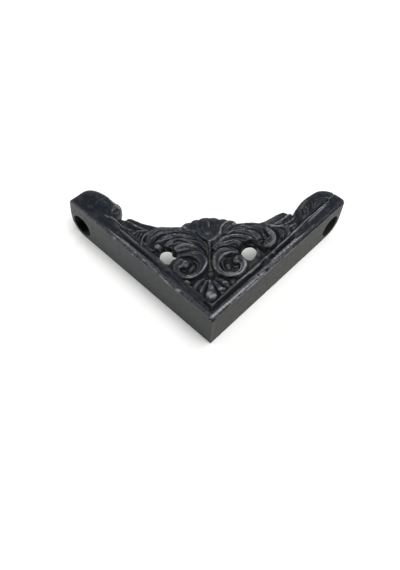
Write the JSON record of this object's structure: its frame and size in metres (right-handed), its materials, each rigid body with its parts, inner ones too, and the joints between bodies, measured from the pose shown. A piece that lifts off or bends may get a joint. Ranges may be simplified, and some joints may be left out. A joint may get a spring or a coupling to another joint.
{
  "type": "decorative corner bracket",
  "caption": "L-shaped cast iron corner bracket with a screw hole at the end of each arm and a pierced web carved with a shell, scrolls and leaves.",
  "frame": {"origin": "the outer corner of the bracket, where both outer faces meet the back plane", "axes": "+X and +Y run along the two arms from the outer corner, +Z points out of the back towards the carved face"},
  "size_m": [0.0922, 0.0922, 0.0203],
  "materials": {
    "iron": "dark oiled patina, satin, slightly rough casting skin in the hollows"
  },
  "bodies": {
    "root": {"bracket": "iron"}
  },
  "joints": []
}
